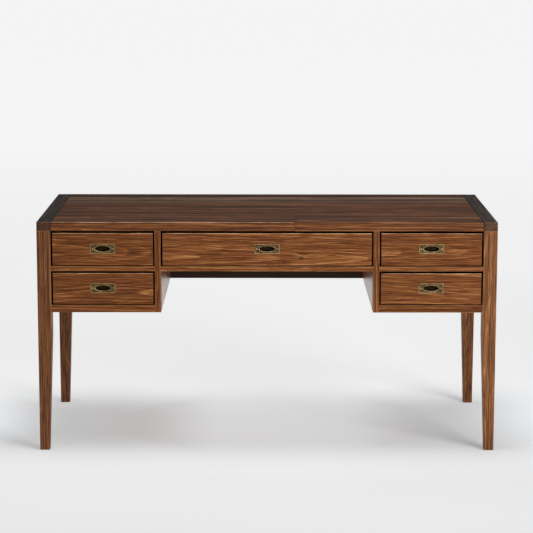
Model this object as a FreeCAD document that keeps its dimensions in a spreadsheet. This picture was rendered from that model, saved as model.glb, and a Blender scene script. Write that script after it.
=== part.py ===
"""Campaign desk: plank top on four legs, two banks of drawers, a centre drawer over the knee hole.

X runs along the width, the front faces -Y and Z is up. The origin is on the floor, under the
middle of the desk. Pieces of the right half are modelled first and the left half mirrors them.
"""
import FreeCAD, Part
import Sketcher
import math
import os
import re

# Every driving size, in millimetres, under the name of its cell in the sheet.
SIZES = {
    # Whole desk
    "overall_width": 1524,
    "overall_depth": 711,
    "overall_height": 774,
    # Top: planks side by side, with an end board across each end
    "top_thickness": 30,
    "plank_count": 9,
    "front_plank_butt": 91,
    "seam_bevel": 1.2,
    "top_arris": 2,
    "tongue_thickness": 10,
    "tongue_length": 14,
    "tongue_setback": 24,
    "tongue_clearance": 0.3,
    # Legs
    "leg_size": 46,
    "foot_size": 32,
    "taper_drop": 81,
    "leg_arris": 1.5,
    # Front frame, from the top downwards
    "upper_opening": 118,
    "rail_height": 16,
    "lower_opening": 114,
    "sill_height": 25,
    "bank_width": 344,
    "stile_width": 20,
    "frame_arris": 0.8,
    "tenon_length": 16,
    "stub_tenon": 6,
    "tenon_thickness": 8,
    "tenon_shoulder": 8,
    "mortise_clearance": 0.5,
    # Panels of the case
    "panel_thickness": 18,
    "panel_inset": 4,
    "back_drop": 5,
    "panel_tongue": 8,
    "panel_tongue_length": 8,
    "stile_shoulder": 2,
    "bottom_thickness": 12,
    "bottom_recess": 3,
    # Runners, stops and cleats
    "runner_bearing": 20,
    "guide_height": 16,
    "guide_clearance": 1.5,
    "stop_width": 18,
    "stop_height": 30,
    "cleat_size": 20,
    "cleat_bevel": 4,
    # Drawer boxes
    "reveal": 5.5,
    "reveal_above": 7,
    "reveal_below": 3,
    "running_clearance": 0.3,
    "front_thickness": 20,
    "front_arris": 2,
    "side_thickness": 12,
    "side_drop": 6,
    "side_arris": 2,
    "back_thickness": 12,
    "back_gap": 40,
    "back_housing": 4,
    "floor_thickness": 6,
    "floor_height": 12,
    "floor_groove": 6,
    "floor_clearance": 0.3,
    # Half-blind dovetails at the drawer fronts
    "tail_count": 3,
    "tail_lap": 7,
    "tail_width": 17,
    "tail_flare": 2,
    # Flush pulls
    "pull_width": 83,
    "pull_height": 33,
    "plate_thickness": 2.5,
    "plate_proud": 1,
    "plate_bevel": 1.2,
    "seat_clearance": 0.4,
    "cup_length": 50,
    "cup_height": 17,
    "cup_wall": 1.6,
    "cup_backing": 5,
    "cup_corner": 4,
    "rim_bevel": 2.8,
    # Countersunk screws of the pulls
    "screw_spacing": 69,
    "screw_head": 5.6,
    "screw_shank": 2.8,
    "screw_countersink": 1.6,
    "screw_length": 12,
    "screw_point": 2.5,
    "screw_slot": 0.8,
    "screw_fit": 0.1,
}

# Planes and lines of the case that several pieces share.
FRONT = "(-overall_depth / 2)"
BACK = "(overall_depth / 2)"
CASE_TOP = "(overall_height - top_thickness)"
RAIL_TOP = f"({CASE_TOP} - upper_opening)"
RAIL_BOTTOM = f"({RAIL_TOP} - rail_height)"
SILL_TOP = f"({RAIL_BOTTOM} - lower_opening)"
CASE_BOTTOM = f"({SILL_TOP} - sill_height)"
BANK_OUTER = "(overall_width / 2 - leg_size)"
BANK_INNER = f"({BANK_OUTER} - bank_width)"
KNEE_HALF = f"({BANK_INNER} - stile_width)"
KNEE_PANEL_FACE = f"({BANK_INNER} - stile_shoulder)"
SIDE_PANEL_FACE = "(overall_width / 2 - panel_inset - panel_thickness)"
FRAME_BACK = f"({FRONT} + leg_size)"
REAR_LEG_FACE = f"({BACK} - leg_size)"
BACK_PANEL_FACE = f"({BACK} - panel_inset - panel_thickness)"
CASE_HEIGHT = f"({CASE_TOP} - {CASE_BOTTOM})"
TAPER_TOP = f"({CASE_BOTTOM} - taper_drop)"
PLANKS = "round(plank_count)"
PLANK_PITCH = f"(overall_depth / {PLANKS})"
TOP_TONGUE_LOW = f"({CASE_TOP} + (top_thickness - tongue_thickness) / 2)"
TENON_DEPTH = "(leg_size - 2 * tenon_shoulder)"

# Lines of a drawer, in its own frame: left end, front face and the top of its runners.
DRAWER_LENGTH = f"({BACK_PANEL_FACE} - back_gap - {FRONT})"
TAILS = "round(tail_count)"
FLOOR_TOP = "(floor_height + floor_thickness)"
CUP_DEPTH = "(front_thickness - cup_backing)"
PLATE_BACK = "(plate_thickness - plate_proud)"

# Flat faces within this distance of a plane count as lying on it.
ON_PLANE = 1e-4

doc = FreeCAD.newDocument("campaign_desk")
sheet = doc.addObject("Spreadsheet::Sheet", "sizes")
for row, (alias, size) in enumerate(SIZES.items(), start=1):
    sheet.set(f"A{row}", alias)
    sheet.set(f"B{row}", str(size))
    sheet.setAlias(f"B{row}", alias)
doc.recompute()

pieces = []


def cells(text):
    """The expression with every size name pointed at its cell."""
    return re.sub(r"[a-z_]+", lambda word: f"sizes.{word[0]}" if word[0] in SIZES else word[0], text)


def measure(text):
    """The expression's value in millimetres, or as a bare number."""
    return float(sheet.evalExpression(cells(text)))


def bind(thing, **properties):
    """Bind properties of an object to expressions; a double underscore stands for a dot."""
    for name, text in properties.items():
        thing.setExpression(name.replace("__", "."), cells(text))


def place(thing, x="0", y="0", z="0"):
    bind(thing, Placement__Base__x=x, Placement__Base__y=y, Placement__Base__z=z)


def new_body(name):
    return doc.addObject("PartDesign::Body", name)


def keep(piece, name):
    """Take an object as a finished piece under the name of its node."""
    piece.Label = name
    pieces.append(piece)
    return piece


def mirrored(source, name):
    """The same piece on the other side of the desk's middle plane."""
    twin = doc.addObject("Part::Mirroring", name)
    twin.Source = source
    twin.Normal = FreeCAD.Vector(1, 0, 0)
    return twin


def grouped(name, members):
    """Several solids of one kind as a single piece."""
    group = doc.addObject("Part::Compound", name)
    group.Links = members
    return keep(group, name)


def keep_pair(source, stem):
    """A right-hand piece and its mirrored left-hand twin."""
    keep(source, f"{stem}_right")
    keep(mirrored(source, f"{stem}_left"), f"{stem}_left")


def block(body, kind, name, start, size):
    """A straight-edged block added to a body, or cut from it, by its low corner and its size."""
    solid = body.newObject(f"PartDesign::{kind}Box", f"{body.Name}_{name}")
    bind(solid, Length=size[0], Width=size[1], Height=size[2])
    place(solid, *start)
    doc.recompute()
    return solid


def board(body, name, start, size):
    return block(body, "Additive", name, start, size)


def housing(body, name, start, size):
    return block(body, "Subtractive", name, start, size)


def new_sketch(body, role, name, x="0", y="0", z="0"):
    """An empty sketch on one of the body's own planes, shifted in the sketch's own axes."""
    sketch = body.newObject("Sketcher::SketchObject", f"{body.Name}_{name}")
    plane = next(item for item in body.Origin.OriginFeatures if item.Role == role)
    sketch.AttachmentSupport = [(plane, "")]
    sketch.MapMode = "FlatFace"
    bind(sketch, AttachmentOffset__Base__x=x, AttachmentOffset__Base__y=y, AttachmentOffset__Base__z=z)
    return sketch


def arc_through(start, end, level):
    """Arc run anticlockwise from start to end; its centre's x is given."""
    middle = (start + end) * 0.5
    chord = end - start
    centre = FreeCAD.Vector(level, middle.y - chord.x * (level - middle.x) / chord.y, 0)
    spoke = start - centre
    first = math.atan2(spoke.y, spoke.x)
    last = math.atan2(end.y - centre.y, end.x - centre.x)
    if last <= first:
        last += 2 * math.pi
    turn = (first + last) / 2
    crown = centre + FreeCAD.Vector(math.cos(turn), math.sin(turn), 0) * spoke.Length
    return Part.Arc(start, crown, end)


def outline(sketch, corners):
    """A closed loop through corners (x, y) or (x, y, centre), each bound to the sheet.

    A corner with a centre starts an anticlockwise arc, whose centre has that x. Other edges are straight.
    """
    points = [FreeCAD.Vector(measure(corner[0]), measure(corner[1]), 0) for corner in corners]
    base = sketch.GeometryCount
    for index, corner in enumerate(corners):
        start, end = points[index], points[(index + 1) % len(points)]
        if len(corner) == 2:
            sketch.addGeometry(Part.LineSegment(start, end))
        else:
            sketch.addGeometry(arc_through(start, end, measure(corner[2])))
    for index, corner in enumerate(corners):
        after = base + (index + 1) % len(corners)
        sketch.addConstraint(Sketcher.Constraint("Coincident", base + index, 2, after, 1))
        for axis, text in zip("XY", corner):
            hold(sketch, axis, base + index, 1, text)
        if len(corner) == 3:
            hold(sketch, "X", base + index, 3, corner[2])


def hold(sketch, axis, edge, point, text):
    """Bind one coordinate of an edge's point, measured from the sketch's origin."""
    limit = Sketcher.Constraint(f"Distance{axis}", -1, 1, edge, point, measure(text))
    bind(sketch, **{f"Constraints[{sketch.addConstraint(limit)}]": text})


def oblong(sketch, length, height):
    """A slot with round ends about the sketch's origin."""
    straight = f"(({length} - {height}) / 2)"
    half = f"({height} / 2)"
    outline(sketch, [
        (f"-{straight}", f"-{half}"),
        (straight, f"-{half}", straight),
        (straight, half),
        (f"-{straight}", half, f"-{straight}"),
    ])


def pad(body, sketch, length, backwards=False):
    feature = body.newObject("PartDesign::Pad", f"{sketch.Name}_pad")
    feature.Profile = sketch
    feature.Reversed = backwards
    bind(feature, Length=length)
    doc.recompute()
    return feature


def pocket(body, sketch, length, backwards=False):
    """Cut a profile into the body; a cut that removes nothing is an error."""
    before = body.Shape.Volume
    feature = body.newObject("PartDesign::Pocket", f"{sketch.Name}_pocket")
    feature.Profile = sketch
    feature.Reversed = backwards
    bind(feature, Length=length)
    doc.recompute()
    if body.Shape.Volume >= before:
        raise RuntimeError(f"{feature.Name} cuts nothing")
    return feature


def lies_on(edge, axis, text):
    """Whether an edge lies in the plane where one axis has the given value."""
    box = edge.BoundBox
    level = measure(text)
    low, high = getattr(box, f"{axis}Min"), getattr(box, f"{axis}Max")
    return abs(low - level) < ON_PLANE and abs(high - level) < ON_PLANE


def runs_along(edge, axis):
    """Whether an edge is long in one axis and thin in the other two."""
    box = edge.BoundBox
    return getattr(box, f"{axis}Length") > edge.Length - ON_PLANE


def ease(body, kind, name, chosen, size):
    """Round or bevel the body's edges that pass a test, by a radius or a width."""
    base = body.Tip
    edges = [f"Edge{number}" for number, edge in enumerate(base.Shape.Edges, start=1) if chosen(edge)]
    feature = body.newObject(f"PartDesign::{kind}", f"{body.Name}_{name}")
    feature.Base = (base, edges)
    bind(feature, **{"Radius" if kind == "Fillet" else "Size": size})
    doc.recompute()
    return feature


def top_plank(name, index, left, right, left_tongue, right_tongue):
    """One plank between two X positions, bevelled at its seams and tongued at its outer ends."""
    near = f"({FRONT} + {index} * {PLANK_PITCH})"
    far = f"({near} + {PLANK_PITCH})"
    first, last = index == 0, index == round(measure(PLANKS)) - 1
    body = new_body(name)
    section = new_sketch(body, "YZ_Plane", "section", z=left)
    corners = [(near, CASE_TOP), (far, CASE_TOP)]
    if last:
        corners += [(far, "overall_height")]
    else:
        corners += [(far, "overall_height - seam_bevel"), (f"{far} - seam_bevel", "overall_height")]
    if first:
        corners += [(near, "overall_height")]
    else:
        corners += [(f"{near} + seam_bevel", "overall_height"), (near, "overall_height - seam_bevel")]
    outline(section, corners)
    pad(body, section, f"{right} - {left}")
    if first or last:
        rim = FRONT if first else BACK
        ease(body, "Fillet", "arris",
             lambda edge: lies_on(edge, "Y", rim) and lies_on(edge, "Z", "overall_height"), "top_arris")
    start = f"({near} + tongue_setback)" if first else near
    end = f"({far} - tongue_setback)" if last else far
    if left_tongue:
        board(body, "left_tongue", (f"{left} - tongue_length", start, TOP_TONGUE_LOW),
              ("tongue_length", f"{end} - {start}", "tongue_thickness"))
    if right_tongue:
        board(body, "right_tongue", (right, start, TOP_TONGUE_LOW),
              ("tongue_length", f"{end} - {start}", "tongue_thickness"))
    return body


def build_top():
    """Glued planks and the two end boards that take their tongues."""
    left_end = f"(-{BANK_OUTER})"
    planks = [
        top_plank("plank_front_left", 0, left_end, "front_plank_butt", True, False),
        top_plank("plank_front_right", 0, "front_plank_butt", BANK_OUTER, False, True),
    ]
    for index in range(1, round(measure(PLANKS))):
        planks.append(top_plank(f"plank_{index + 1}", index, left_end, BANK_OUTER, True, True))
    grouped("top_planks", planks)

    body = new_body("end_board_right")
    board(body, "board", (BANK_OUTER, FRONT, CASE_TOP), ("leg_size", "overall_depth", "top_thickness"))
    outer = "overall_width / 2"
    ease(body, "Fillet", "arris",
         lambda edge: (lies_on(edge, "Z", "overall_height") and not lies_on(edge, "X", BANK_OUTER))
         or (lies_on(edge, "X", outer) and runs_along(edge, "Z")), "top_arris")
    ease(body, "Chamfer", "seam",
         lambda edge: lies_on(edge, "X", BANK_OUTER) and lies_on(edge, "Z", "overall_height"), "seam_bevel")
    setback = "(tongue_setback - tongue_clearance)"
    housing(body, "groove",
            (BANK_OUTER, f"{FRONT} + {setback}", f"{TOP_TONGUE_LOW} - tongue_clearance"),
            ("tongue_length + tongue_clearance", f"overall_depth - 2 * {setback}",
             "tongue_thickness + 2 * tongue_clearance"))
    keep_pair(body, "end_board")


def tenon_level(bottom, height):
    """Underside of a tenon in the middle of a rail's height."""
    return f"({bottom} + ({height} - tenon_thickness) / 2)"


def mortise(body, name, start, length, bottom, height):
    """The socket of a rail's tenon, open at one X face and reaching along X from start."""
    gap = "mortise_clearance"
    housing(body, name,
            (start, f"{FRONT} + tenon_shoulder - {gap}", f"{tenon_level(bottom, height)} - {gap}"),
            (length, f"{TENON_DEPTH} + 2 * {gap}", f"tenon_thickness + 2 * {gap}"))


def leg_plan(body, name, level, near, size, backwards):
    """A right-hand leg's section at a height: a square with round corners, in the corner of the desk."""
    low, high = (f"({near} - {size})", near) if backwards else (near, f"({near} + {size})")
    inner, outer = f"(overall_width / 2 - {size})", "(overall_width / 2)"
    left, right = f"({inner} + leg_arris)", f"({outer} - leg_arris)"
    plan = new_sketch(body, "XY_Plane", name, z=level)
    outline(plan, [
        (left, low),
        (right, low, right),
        (outer, f"{low} + leg_arris"),
        (outer, f"{high} - leg_arris", right),
        (right, high),
        (left, high, left),
        (inner, f"{high} - leg_arris"),
        (inner, f"{low} + leg_arris", left),
    ])
    return plan


def leg_blank(name, near, backwards):
    """A right-hand leg: square above, its two inner faces tapering straight to the foot.

    The Y face named near is the outer one; backwards turns the leg's depth towards -Y.
    """
    body = new_body(name)
    square = leg_plan(body, "square", TAPER_TOP, near, "leg_size", backwards)
    pad(body, square, f"{CASE_TOP} - {TAPER_TOP}")
    taper = body.newObject("PartDesign::AdditiveLoft", f"{name}_taper")
    taper.Profile = leg_plan(body, "shoulder", TAPER_TOP, near, "leg_size", backwards)
    taper.Sections = [leg_plan(body, "foot", "0", near, "foot_size", backwards)]
    taper.Ruled = True
    doc.recompute()
    return body


def panel_groove(body, name, start, size):
    """A leg's groove for a panel's tongue, open at the top."""
    housing(body, name, (start[0], start[1], CASE_BOTTOM), (size[0], size[1], CASE_HEIGHT))


def build_legs():
    tongue_in = f"({SIDE_PANEL_FACE} + (panel_thickness - panel_tongue) / 2)"
    depth = "(panel_tongue_length + mortise_clearance)"
    front = leg_blank("leg_front_right", FRONT, False)
    for name, bottom, height in (("rail", RAIL_BOTTOM, "rail_height"), ("sill", CASE_BOTTOM, "sill_height")):
        mortise(front, name, BANK_OUTER, "tenon_length + mortise_clearance", bottom, height)
    panel_groove(front, "side_groove", (tongue_in, f"{FRAME_BACK} - {depth}"), ("panel_tongue", depth))
    keep_pair(front, "leg_front")

    rear = leg_blank("leg_rear_right", BACK, True)
    panel_groove(rear, "side_groove", (tongue_in, REAR_LEG_FACE), ("panel_tongue", depth))
    tongue_back = f"({BACK_PANEL_FACE} + (panel_thickness - panel_tongue) / 2)"
    panel_groove(rear, "back_groove", (BANK_OUTER, tongue_back), (depth, "panel_tongue"))
    keep_pair(rear, "leg_rear")


def rail(name, left, right, left_tenon, right_tenon, bottom, height):
    """A front rail with a tenon at each end."""
    body = new_body(name)
    board(body, "rail", (left, FRONT, bottom), (f"{right} - {left}", "leg_size", height))
    ease(body, "Fillet", "arris",
         lambda edge: lies_on(edge, "Y", FRONT) and runs_along(edge, "X"), "frame_arris")
    tenon_y = f"{FRONT} + tenon_shoulder"
    low = tenon_level(bottom, height)
    board(body, "left_tenon", (f"{left} - {left_tenon}", tenon_y, low),
          (left_tenon, TENON_DEPTH, "tenon_thickness"))
    board(body, "right_tenon", (right, tenon_y, low), (right_tenon, TENON_DEPTH, "tenon_thickness"))
    return body


def build_front_frame():
    """Stiles beside the knee hole, the rails between the drawers and the sills under the banks."""
    stile = new_body("stile_right")
    board(stile, "stile", (KNEE_HALF, FRONT, CASE_BOTTOM), ("stile_width", "leg_size", CASE_HEIGHT))
    ease(stile, "Fillet", "arris",
         lambda edge: lies_on(edge, "Y", FRONT) and runs_along(edge, "Z"), "frame_arris")
    socket = "stub_tenon + mortise_clearance"
    mortise(stile, "rail", f"{BANK_INNER} - ({socket})", socket, RAIL_BOTTOM, "rail_height")
    mortise(stile, "sill", f"{BANK_INNER} - ({socket})", socket, CASE_BOTTOM, "sill_height")
    mortise(stile, "center_rail", KNEE_HALF, socket, RAIL_BOTTOM, "rail_height")
    keep_pair(stile, "stile")

    keep_pair(rail("rail_right", BANK_INNER, BANK_OUTER, "stub_tenon", "tenon_length",
                   RAIL_BOTTOM, "rail_height"), "rail")
    keep_pair(rail("sill_right", BANK_INNER, BANK_OUTER, "stub_tenon", "tenon_length",
                   CASE_BOTTOM, "sill_height"), "sill")
    keep(rail("rail_center", f"(-{KNEE_HALF})", KNEE_HALF, "stub_tenon", "stub_tenon",
              RAIL_BOTTOM, "rail_height"), "rail_center")


def build_panels():
    """End panels, knee panels, the back and the bottoms of the banks."""
    side = new_body("side_panel_right")
    run = f"({REAR_LEG_FACE} - {FRAME_BACK})"
    board(side, "panel", (SIDE_PANEL_FACE, FRAME_BACK, CASE_BOTTOM), ("panel_thickness", run, CASE_HEIGHT))
    tongue_in = f"{SIDE_PANEL_FACE} + (panel_thickness - panel_tongue) / 2"
    board(side, "tongue", (tongue_in, f"{FRAME_BACK} - panel_tongue_length", CASE_BOTTOM),
          ("panel_tongue", f"{run} + 2 * panel_tongue_length", CASE_HEIGHT))
    keep_pair(side, "side_panel")

    knee = new_body("knee_panel_right")
    board(knee, "panel", (KNEE_HALF, FRAME_BACK, CASE_BOTTOM),
          ("stile_width - stile_shoulder", f"{BACK_PANEL_FACE} - {FRAME_BACK}", CASE_HEIGHT))
    keep_pair(knee, "knee_panel")

    back = new_body("back_panel")
    board(back, "panel", (f"-{BANK_OUTER}", BACK_PANEL_FACE, f"{CASE_BOTTOM} - back_drop"),
          (f"2 * {BANK_OUTER}", "panel_thickness", f"{CASE_HEIGHT} + back_drop"))
    board(back, "tongue",
          (f"-{BANK_OUTER} - panel_tongue_length",
           f"{BACK_PANEL_FACE} + (panel_thickness - panel_tongue) / 2", CASE_BOTTOM),
          (f"2 * ({BANK_OUTER} + panel_tongue_length)", "panel_tongue", CASE_HEIGHT))
    keep(back, "back_panel")

    bottom = new_body("pedestal_bottom_right")
    plan = new_sketch(bottom, "XY_Plane", "plan", z=f"{CASE_BOTTOM} + bottom_recess")
    outline(plan, [
        (KNEE_PANEL_FACE, FRAME_BACK),
        (SIDE_PANEL_FACE, FRAME_BACK),
        (SIDE_PANEL_FACE, REAR_LEG_FACE),
        (BANK_OUTER, REAR_LEG_FACE),
        (BANK_OUTER, BACK_PANEL_FACE),
        (KNEE_PANEL_FACE, BACK_PANEL_FACE),
    ])
    pad(bottom, plan, "bottom_thickness")
    keep_pair(bottom, "pedestal_bottom")


def guided_runner(name, wall, face, inward, bottom, top, end):
    """An L-shaped runner: a shelf under a drawer side and a guide beside it, fixed to a wall.

    wall is the X of the panel that carries it, face the X of the drawer side's outer face, and
    inward the sign of the way from the wall towards the drawer's middle.
    """
    lip = f"({face} - {inward} * guide_clearance)"
    shelf = f"({face} + {inward} * runner_bearing)"
    guide_top = f"({top} + guide_height)"
    corners = [(wall, bottom), (shelf, bottom), (shelf, top), (lip, top), (lip, guide_top), (wall, guide_top)]
    body = new_body(name)
    section = new_sketch(body, "XZ_Plane", "section", z=f"-{FRAME_BACK}")
    outline(section, corners)
    pad(body, section, f"{end} - {FRAME_BACK}", backwards=True)
    return body


def build_runners():
    """What the drawers slide on and stop against."""
    levels = (
        ("upper", RAIL_BOTTOM, RAIL_TOP),
        ("lower", f"({CASE_BOTTOM} + bottom_recess + bottom_thickness)", SILL_TOP),
    )
    outer_face = f"({BANK_OUTER} - reveal)"
    inner_face = f"({BANK_INNER} + reveal)"
    runners = []
    for level, bottom, top in levels:
        runners.append(guided_runner(f"{level}_outer_runner", SIDE_PANEL_FACE, outer_face, "-1",
                                     bottom, top, REAR_LEG_FACE))
        runners.append(guided_runner(f"{level}_inner_runner", KNEE_PANEL_FACE, inner_face, "1",
                                     bottom, top, BACK_PANEL_FACE))
    twins = [mirrored(runner, f"{runner.Name}_twin") for runner in runners]
    grouped("bank_runners", runners + twins)

    center = new_body("center_runner")
    ledge = "(reveal + runner_bearing)"
    board(center, "strip", (f"{KNEE_HALF} - {ledge}", FRAME_BACK, RAIL_BOTTOM),
          (ledge, f"{BACK_PANEL_FACE} - {FRAME_BACK}", "rail_height"))
    ease(center, "Chamfer", "bevel",
         lambda edge: lies_on(edge, "Z", RAIL_BOTTOM) and lies_on(edge, "X", f"{KNEE_HALF} - {ledge}"),
         "cleat_bevel")
    grouped("center_runners", [center, mirrored(center, "center_runner_twin")])

    stops = []
    places = (
        ("upper_outer", f"{outer_face} - stop_width", RAIL_TOP),
        ("upper_inner", inner_face, RAIL_TOP),
        ("lower_outer", f"{outer_face} - stop_width", SILL_TOP),
        ("lower_inner", inner_face, SILL_TOP),
        ("center", f"{KNEE_HALF} - reveal - stop_width", RAIL_TOP),
    )
    for name, left, bottom in places:
        stop = new_body(f"{name}_stop")
        board(stop, "block", (left, f"{BACK_PANEL_FACE} - back_gap", bottom),
              ("stop_width", "back_gap", "stop_height"))
        stops.append(stop)
    grouped("drawer_stops", stops + [mirrored(stop, f"{stop.Name}_twin") for stop in stops])


def cleat(name, start, size, edge_axis, edge_level):
    """A strip under the top, bevelled along its free lower edge."""
    body = new_body(name)
    board(body, "strip", start, size)
    low = f"{CASE_TOP} - cleat_size"
    ease(body, "Chamfer", "bevel",
         lambda edge: lies_on(edge, "Z", low) and lies_on(edge, edge_axis, edge_level), "cleat_bevel")
    return body


def build_cleats():
    """Strips in the corners under the top that tie it to the end panels and the back."""
    low = f"{CASE_TOP} - cleat_size"
    back_line = f"({BACK_PANEL_FACE} - cleat_size)"
    side = cleat("side_cleat", (f"{SIDE_PANEL_FACE} - cleat_size", FRAME_BACK, low),
                 ("cleat_size", f"{REAR_LEG_FACE} - {FRAME_BACK}", "cleat_size"),
                 "X", f"{SIDE_PANEL_FACE} - cleat_size")
    bank = cleat("bank_cleat", (KNEE_PANEL_FACE, back_line, low),
                 (f"{BANK_OUTER} - {KNEE_PANEL_FACE}", "cleat_size", "cleat_size"), "Y", back_line)
    middle = cleat("middle_cleat", (f"-{KNEE_HALF}", back_line, low),
                   (f"2 * {KNEE_HALF}", "cleat_size", "cleat_size"), "Y", back_line)
    grouped("top_cleats", [side, mirrored(side, "side_cleat_twin"), bank, mirrored(bank, "bank_cleat_twin"),
                           middle])


class Drawer:
    """One drawer: the opening that it fills, and its lines in its own frame."""

    def __init__(self, name, left, span, bottom, opening):
        self.name = name
        self.origin = (f"{left} + reveal", FRONT, bottom)
        self.width = f"({span} - 2 * reveal)"
        self.face_top = f"({opening} - reveal_above)"
        self.side_top = f"({self.face_top} - side_drop)"
        self.middle = (f"({self.width} / 2)", f"({opening} / 2)")

    def new_body(self, part):
        body = new_body(f"{self.name}_{part}")
        place(body, *self.origin)
        return body

    def keep(self, body):
        keep(body, body.Name)

    def tails(self, sketch):
        """The dovetails' outlines between the front's back face and its lap."""
        pitch = f"(({self.side_top} - reveal_below) / {TAILS})"
        for index in range(round(measure(TAILS))):
            center = f"(reveal_below + ({index} + 0.5) * {pitch})"
            narrow = "(tail_width / 2)"
            wide = "(tail_width / 2 + tail_flare)"
            outline(sketch, [
                ("tail_lap", f"{center} - {wide}"),
                ("front_thickness", f"{center} - {narrow}"),
                ("front_thickness", f"{center} + {narrow}"),
                ("tail_lap", f"{center} + {wide}"),
            ])

    def build_front(self):
        body = self.new_body("front")
        board(body, "board", ("0", "0", "reveal_below"),
              (self.width, "front_thickness", f"{self.face_top} - reveal_below"))
        ease(body, "Fillet", "arris", lambda edge: lies_on(edge, "Y", "0"), "front_arris")
        left = new_sketch(body, "YZ_Plane", "left_tails")
        self.tails(left)
        pocket(body, left, "side_thickness", backwards=True)
        right = new_sketch(body, "YZ_Plane", "right_tails", z=self.width)
        self.tails(right)
        pocket(body, right, "side_thickness")
        inset = "(side_thickness - floor_groove)"
        housing(body, "floor_groove", (inset, "front_thickness - floor_groove", "floor_height"),
                (f"{self.width} - 2 * {inset}", "floor_groove", "floor_thickness"))
        housing(body, "plate_seat",
                (f"{self.middle[0]} - pull_width / 2 - seat_clearance", "0",
                 f"{self.middle[1]} - pull_height / 2 - seat_clearance"),
                ("pull_width + 2 * seat_clearance", PLATE_BACK, "pull_height + 2 * seat_clearance"))
        hollow = new_sketch(body, "XZ_Plane", "cup_hollow", x=self.middle[0], y=self.middle[1])
        around = "2 * (cup_wall + seat_clearance)"
        oblong(hollow, f"(cup_length + {around})", f"(cup_height + {around})")
        pocket(body, hollow, f"{CUP_DEPTH} + seat_clearance")
        for side in ("-1", "1"):
            pilot = body.newObject("PartDesign::SubtractiveCylinder", f"{body.Name}_pilot")
            bind(pilot, Radius="screw_shank / 2 + screw_fit", Height="screw_length")
            aim_back(pilot)
            place(pilot, f"{self.middle[0]} + {side} * screw_spacing / 2", "0", self.middle[1])
        doc.recompute()
        self.keep(body)

    def build_side(self, part, left, groove, back_housing):
        """A drawer side from its left face's X; groove and back_housing are their own left X."""
        body = self.new_body(part)
        run = f"({DRAWER_LENGTH} - front_thickness)"
        board(body, "board", (left, "front_thickness", "running_clearance"),
              ("side_thickness", run, f"{self.side_top} - running_clearance"))
        ease(body, "Fillet", "top_edge",
             lambda edge: lies_on(edge, "Z", self.side_top) and runs_along(edge, "Y"), "side_arris")
        tails = new_sketch(body, "YZ_Plane", "tails", z=left)
        self.tails(tails)
        pad(body, tails, "side_thickness")
        housing(body, "floor_groove", (groove, "0", "floor_height"),
                ("floor_groove", DRAWER_LENGTH, "floor_thickness"))
        housing(body, "back_housing", (back_housing, f"{DRAWER_LENGTH} - back_thickness", FLOOR_TOP),
                ("back_housing", "back_thickness", f"{self.side_top} - {FLOOR_TOP}"))
        self.keep(body)

    def build_box(self):
        """Sides with their tails, the back between them and the floor in its grooves."""
        right = f"({self.width} - side_thickness)"
        self.build_side("side_left", "0", "side_thickness - floor_groove", "side_thickness - back_housing")
        self.build_side("side_right", right, right, right)
        inset = "(side_thickness - back_housing)"
        back = self.new_body("back")
        board(back, "board", (inset, f"{DRAWER_LENGTH} - back_thickness", FLOOR_TOP),
              (f"{self.width} - 2 * {inset}", "back_thickness", f"{self.side_top} - {FLOOR_TOP}"))
        self.keep(back)
        edge = "(side_thickness - floor_groove + floor_clearance)"
        front_edge = "(front_thickness - floor_groove + floor_clearance)"
        floor = self.new_body("bottom")
        board(floor, "board", (edge, front_edge, "floor_height"),
              (f"{self.width} - 2 * {edge}", f"{DRAWER_LENGTH} - {front_edge}", "floor_thickness"))
        self.keep(floor)

    def build_pull(self):
        """A flush pull: bevelled plate, oblong finger cup behind it, bevelled rim, two screw holes."""
        body = new_body(f"{self.name}_pull")
        place(body, f"{self.origin[0]} + {self.middle[0]}", FRONT, f"{self.origin[2]} + {self.middle[1]}")
        plate = new_sketch(body, "XZ_Plane", "plate", z=f"-{PLATE_BACK}")
        outline(plate, [
            ("-pull_width / 2", "-pull_height / 2"),
            ("pull_width / 2", "-pull_height / 2"),
            ("pull_width / 2", "pull_height / 2"),
            ("-pull_width / 2", "pull_height / 2"),
        ])
        pad(body, plate, "plate_thickness")
        ease(body, "Chamfer", "bevel", lambda edge: lies_on(edge, "Y", "-plate_proud"), "plate_bevel")
        cup = new_sketch(body, "XZ_Plane", "cup", z=f"-{CUP_DEPTH}")
        oblong(cup, "(cup_length + 2 * cup_wall)", "(cup_height + 2 * cup_wall)")
        pad(body, cup, f"{CUP_DEPTH} - {PLATE_BACK}")
        ease(body, "Fillet", "cup_corner", lambda edge: lies_on(edge, "Y", CUP_DEPTH), "cup_corner")
        hollow = new_sketch(body, "XZ_Plane", "hollow", z="plate_proud")
        oblong(hollow, "cup_length", "cup_height")
        pocket(body, hollow, f"{CUP_DEPTH} - cup_wall + plate_proud")
        inner = f"{CUP_DEPTH} - cup_wall"
        ease(body, "Fillet", "hollow_corner", lambda edge: lies_on(edge, "Y", inner), "cup_corner - cup_wall")
        throat = measure("cup_length")
        ease(body, "Chamfer", "rim",
             lambda edge: lies_on(edge, "Y", "-plate_proud") and edge.BoundBox.XLength < throat + ON_PLANE
             and edge.BoundBox.ZLength < measure("cup_height") + ON_PLANE, "rim_bevel")
        for side in ("-1", "1"):
            spot = (f"{side} * screw_spacing / 2", "-plate_proud", "0")
            sink = body.newObject("PartDesign::SubtractiveCone", f"{body.Name}_countersink")
            bind(sink, Radius1="screw_head / 2 + screw_fit", Radius2="screw_shank / 2 + screw_fit",
                 Height="screw_countersink")
            aim_back(sink)
            place(sink, *spot)
            bore = body.newObject("PartDesign::SubtractiveCylinder", f"{body.Name}_bore")
            bind(bore, Radius="screw_shank / 2 + screw_fit", Height="plate_thickness")
            aim_back(bore)
            place(bore, *spot)
        doc.recompute()
        self.keep(body)

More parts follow.
